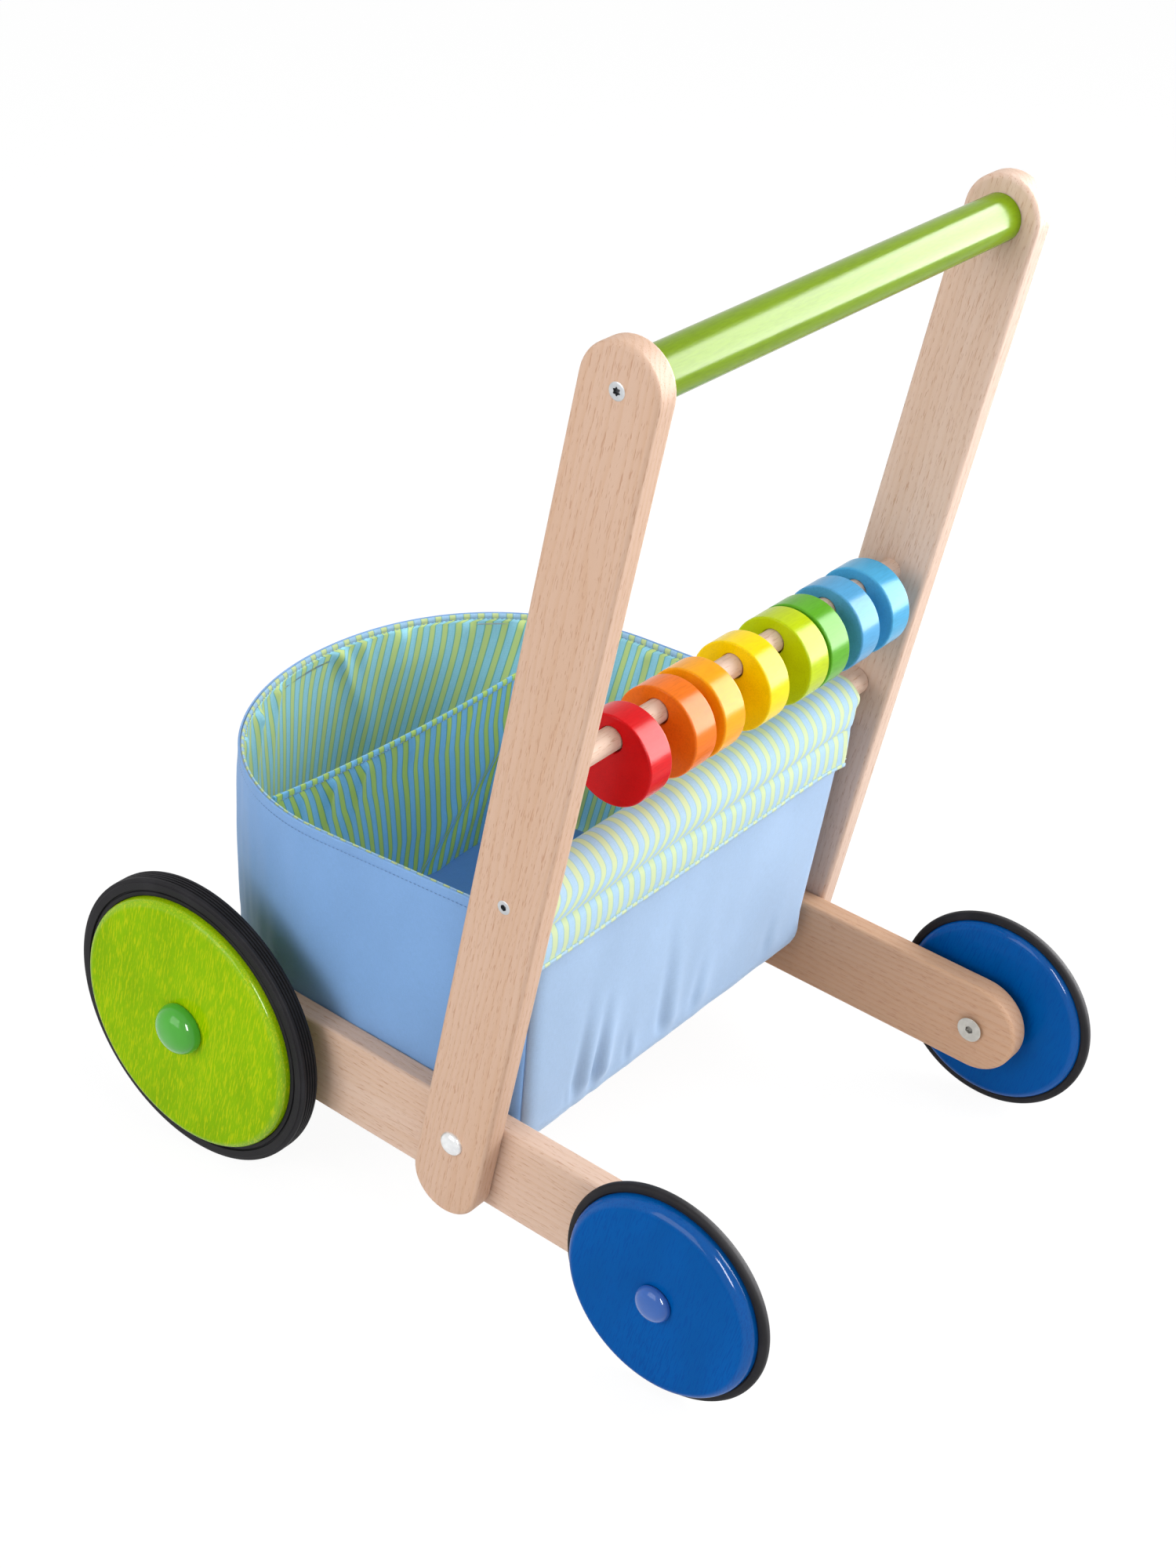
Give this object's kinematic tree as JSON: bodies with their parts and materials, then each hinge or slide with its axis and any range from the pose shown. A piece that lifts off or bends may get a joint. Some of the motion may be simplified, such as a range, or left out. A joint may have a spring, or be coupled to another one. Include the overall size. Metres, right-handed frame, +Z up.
{
  "type": "baby walker",
  "caption": "Wooden push-along baby walker with a cloth basket between side rails, leaning uprights with a grip bar, an abacus rod of sliding rings, and rubber-tyred disc wheels.",
  "frame": {"origin": "on the floor, at the centre of the part's bounding box seen from above", "axes": "+X across the walker towards its left side, +Y towards the child who pushes it, +Z up; the front wheels are at -Y"},
  "size_m": [0.347, 0.4384, 0.5064],
  "materials": {
    "beech": "oiled beech with fine flecks",
    "lime_lacquer": "glossy lime lacquer over turned beech",
    "sky_lacquer": "glossy lacquer",
    "blue_lacquer": "glossy lacquer",
    "green_lacquer": "glossy lacquer",
    "lime_ring_lacquer": "glossy lacquer",
    "yellow_lacquer": "glossy lacquer",
    "amber_lacquer": "glossy lacquer",
    "orange_lacquer": "glossy lacquer",
    "red_lacquer": "glossy lacquer",
    "leaf_green_lacquer": "stained lime green with the grain showing, lacquered",
    "cobalt_lacquer": "cobalt stain, lacquered",
    "tyre_rubber": "matt black rubber",
    "nylon": "natural nylon",
    "green_plastic": "moulded cap",
    "blue_plastic": "moulded cap",
    "zinc_steel": "bright zinc",
    "polished_steel": "polished dome",
    "plywood": "birch plywood",
    "blue_cloth": "plain cornflower blue poplin",
    "striped_cloth": "printed cotton with uneven lime and light blue stripes",
    "pad_filling": "wadding under the lining",
    "spring_wire": "spring wire"
  },
  "bodies": {
    "frame": {"left_rail": "beech", "right_rail": "beech", "left_upright": "beech", "right_upright": "beech", "abacus_rod": "beech", "basket_rod": "beech", "front_cross_bar": "beech", "rear_cross_bar": "beech", "cross_bar_dowels": "beech", "locating_dowels": "beech", "handle_bar": "lime_lacquer", "axle_bolts": "zinc_steel", "axle_washers": "zinc_steel", "axle_lock_nuts": "zinc_steel", "frame_nuts": "zinc_steel", "board_screws": "zinc_steel", "handle_screws": "zinc_steel", "basket_rod_screws": "zinc_steel", "frame_bolts": "polished_steel", "axle_spacers": "nylon", "base_board": "plywood", "basket_outer": "blue_cloth", "basket_back_panel": "blue_cloth", "basket_lining": "striped_cloth", "basket_divider": "striped_cloth", "rim_binding": "striped_cloth", "rear_flap": "striped_cloth", "floor_pad": "pad_filling", "rim_wire": "spring_wire"},
    "front_left_wheel": {"front_left_disc": "leaf_green_lacquer", "front_left_tyre": "tyre_rubber", "front_left_bush": "nylon", "front_left_cap": "green_plastic"},
    "front_right_wheel": {"front_right_disc": "leaf_green_lacquer", "front_right_tyre": "tyre_rubber", "front_right_bush": "nylon", "front_right_cap": "green_plastic"},
    "rear_left_wheel": {"rear_left_disc": "cobalt_lacquer", "rear_left_tyre": "tyre_rubber", "rear_left_bush": "nylon", "rear_left_cap": "blue_plastic"},
    "rear_right_wheel": {"rear_right_disc": "cobalt_lacquer", "rear_right_tyre": "tyre_rubber", "rear_right_bush": "nylon", "rear_right_cap": "blue_plastic"},
    "ring_sky": {"ring_sky": "sky_lacquer"},
    "ring_blue": {"ring_blue": "blue_lacquer"},
    "ring_green": {"ring_green": "green_lacquer"},
    "ring_lime": {"ring_lime": "lime_ring_lacquer"},
    "ring_yellow": {"ring_yellow": "yellow_lacquer"},
    "ring_amber": {"ring_amber": "amber_lacquer"},
    "ring_orange": {"ring_orange": "orange_lacquer"},
    "ring_red": {"ring_red": "red_lacquer"}
  },
  "joints": [
    {"name": "front_left_wheel_turn", "type": "hinge", "parent": "frame", "child": "front_left_wheel", "pos_m": [0.147, -0.1382, 0.081], "axis": [1, 0, 0], "continuous": true},
    {"name": "front_right_wheel_turn", "type": "hinge", "parent": "frame", "child": "front_right_wheel", "pos_m": [-0.147, -0.1382, 0.081], "axis": [1, 0, 0], "continuous": true},
    {"name": "rear_left_wheel_turn", "type": "hinge", "parent": "frame", "child": "rear_left_wheel", "pos_m": [0.147, 0.1618, 0.0574], "axis": [1, 0, 0], "continuous": true},
    {"name": "rear_right_wheel_turn", "type": "hinge", "parent": "frame", "child": "rear_right_wheel", "pos_m": [-0.147, 0.1618, 0.0574], "axis": [1, 0, 0], "continuous": true},
    {"name": "ring_sky_slide", "type": "slide", "parent": "frame", "child": "ring_sky", "axis": [1, 0, 0], "range_m": [-0.0161, 0.0052]},
    {"name": "ring_blue_slide", "type": "slide", "parent": "frame", "child": "ring_blue", "axis": [1, 0, 0], "range_m": [-0.0052, 0.0051]},
    {"name": "ring_green_slide", "type": "slide", "parent": "frame", "child": "ring_green", "axis": [1, 0, 0], "range_m": [-0.0051, 0.0006]},
    {"name": "ring_lime_slide", "type": "slide", "parent": "frame", "child": "ring_lime", "axis": [1, 0, 0], "range_m": [-0.0006, 0.0083]},
    {"name": "ring_yellow_slide", "type": "slide", "parent": "frame", "child": "ring_yellow", "axis": [1, 0, 0], "range_m": [-0.0083, 0.0095]},
    {"name": "ring_amber_slide", "type": "slide", "parent": "frame", "child": "ring_amber", "axis": [1, 0, 0], "range_m": [-0.0095, 0.0029]},
    {"name": "ring_orange_slide", "type": "slide", "parent": "frame", "child": "ring_orange", "axis": [1, 0, 0], "range_m": [-0.0029, 0.0086]},
    {"name": "ring_red_slide", "type": "slide", "parent": "frame", "child": "ring_red", "axis": [1, 0, 0], "range_m": [-0.0086, 0.0426]}
  ]
}
